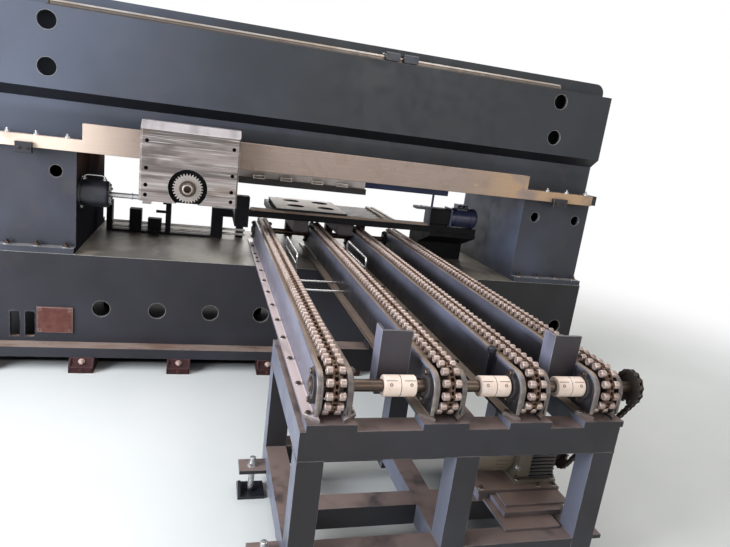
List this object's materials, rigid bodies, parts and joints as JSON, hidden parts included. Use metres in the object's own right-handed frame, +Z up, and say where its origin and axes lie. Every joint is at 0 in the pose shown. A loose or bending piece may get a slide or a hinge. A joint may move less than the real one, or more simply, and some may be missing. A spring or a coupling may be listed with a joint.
{
  "type": "cnc sawing and milling machine",
  "caption": "Gantry sawing and milling machine: ribbed bed, two columns and a box beam with a sliding spindle head, fed by a side-roller chain conveyor on a tube frame.",
  "frame": {"origin": "on the floor, at the centre of the whole machine's box seen from above", "axes": "+X to the right along the beam, +Y from the conveyor's free end towards the gantry, +Z up"},
  "size_m": [3.87, 3.1718, 2.043],
  "materials": {
    "dark_paint": "dark slate grey machine paint, satin",
    "side_paint": "blue-grey machine paint, satin",
    "machined_steel": "milled steel with a thin film of oil, warm",
    "head_steel": "ground steel with brown streaks",
    "gear_steel": "light turned steel",
    "bright_steel": "bright ground steel",
    "black_steel": "black oxide and black paint",
    "oily_shaft": "dark oily turned steel",
    "chain_steel": "warm brown oiled chain steel",
    "rail_plastic": "tan wear plastic",
    "coupling_white": "cream white enamel",
    "motor_blue": "navy blue paint",
    "beam_blue": "dark blue paint",
    "plate_grey": "grey ground plate",
    "wedge_red": "red-brown primer",
    "pad_copper": "brown oxidised milled steel",
    "bearing_grey": "grey cast iron",
    "carriage_blue": "dark blue enamel",
    "reducer_brown": "dark brown grey cast iron",
    "clip_white": "off-white paint"
  },
  "bodies": {
    "root": {"bed": "dark_paint", "bed_pad": "pad_copper", "levelling_wedges": "wedge_red", "left_column": "dark_paint", "right_column": "dark_paint", "crossbeam": "dark_paint", "guide_strip": "machined_steel", "strip_clamps": "black_steel", "beam_rail": "bright_steel", "push_cylinder": "black_steel", "guide_rods": "bright_steel", "rod_posts": "black_steel", "saddle_pedestal": "black_steel", "right_pedestal": "dark_paint", "feed_beam": "plate_grey", "feed_rails": "bright_steel", "feed_table": "plate_grey", "table_rails": "machined_steel", "screw_bracket": "plate_grey", "gear_head": "black_steel", "feed_motor": "motor_blue", "clip_bar": "clip_white", "blue_beam": "beam_blue", "conveyor_frame": "side_paint", "levelling_feet": "black_steel", "levelling_screws": "bright_steel", "track_1": "side_paint", "track_2": "side_paint", "track_3": "side_paint", "track_4": "side_paint", "wear_rails": "rail_plastic", "chain_1": "chain_steel", "chain_2": "chain_steel", "chain_3": "chain_steel", "chain_4": "chain_steel", "flange_bearings": "bearing_grey", "drive_chain": "chain_steel", "motor_base": "side_paint", "gear_reducer": "reducer_brown", "drive_motor": "reducer_brown", "stop_plates": "side_paint", "sensor_post": "black_steel", "flat_bar": "machined_steel", "guide_hoops": "bright_steel", "track_ties": "bright_steel"},
    "carriage_1": {"rail_carriage_1": "carriage_blue"},
    "carriage_2": {"rail_carriage_2": "carriage_blue"},
    "head": {"head_block": "head_steel", "spindle_housing": "oily_shaft", "push_rod": "bright_steel"},
    "spindle": {"spindle_gear": "gear_steel", "spindle_shaft": "oily_shaft"},
    "block": {"slide_block": "black_steel"},
    "feed": {"feed_plate": "plate_grey"},
    "head_drive": {"head_shaft": "oily_shaft", "head_sprockets": "oily_shaft", "shaft_couplings": "coupling_white", "drive_sprocket": "oily_shaft"},
    "tail_drive": {"tail_shaft": "oily_shaft"},
    "output_drive": {"output_pinion": "oily_shaft"}
  },
  "joints": [
    {"name": "carriage_1_slide", "type": "slide", "parent": "root", "child": "carriage_1", "axis": [1, 0, 0], "range_m": [-1.8, 0.025]},
    {"name": "carriage_2_slide", "type": "slide", "parent": "root", "child": "carriage_2", "axis": [1, 0, 0], "range_m": [-0.025, 1]},
    {"name": "head_slide", "type": "slide", "parent": "root", "child": "head", "axis": [1, 0, 0], "range_m": [-0.035, 0.4]},
    {"name": "spindle_turn", "type": "hinge", "parent": "head", "child": "spindle", "pos_m": [-0.789, 0.24693, 1.104], "axis": [0, 1, 0], "continuous": true},
    {"name": "block_slide", "type": "slide", "parent": "root", "child": "block", "axis": [1, 0, 0], "range_m": [-0.04, 0.025]},
    {"name": "feed_slide", "type": "slide", "parent": "root", "child": "feed", "axis": [1, 0, 0], "range_m": [0, 0.3]},
    {"name": "head_shaft_turn", "type": "hinge", "parent": "root", "child": "head_drive", "pos_m": [0, -1.49307, 0.752], "axis": [1, 0, 0], "continuous": true},
    {"name": "tail_shaft_turn", "type": "hinge", "parent": "root", "child": "tail_drive", "pos_m": [0, 1.03693, 0.752], "axis": [1, 0, 0], "continuous": true},
    {"name": "output_turn", "type": "hinge", "parent": "root", "child": "output_drive", "pos_m": [0.82, -1.21307, 0.3], "axis": [1, 0, 0], "continuous": true}
  ],
  "couplings": [
    {"joint": "tail_shaft_turn", "follows": "head_shaft_turn", "ratio": 1},
    {"joint": "output_turn", "follows": "head_shaft_turn", "ratio": 1.1667}
  ]
}
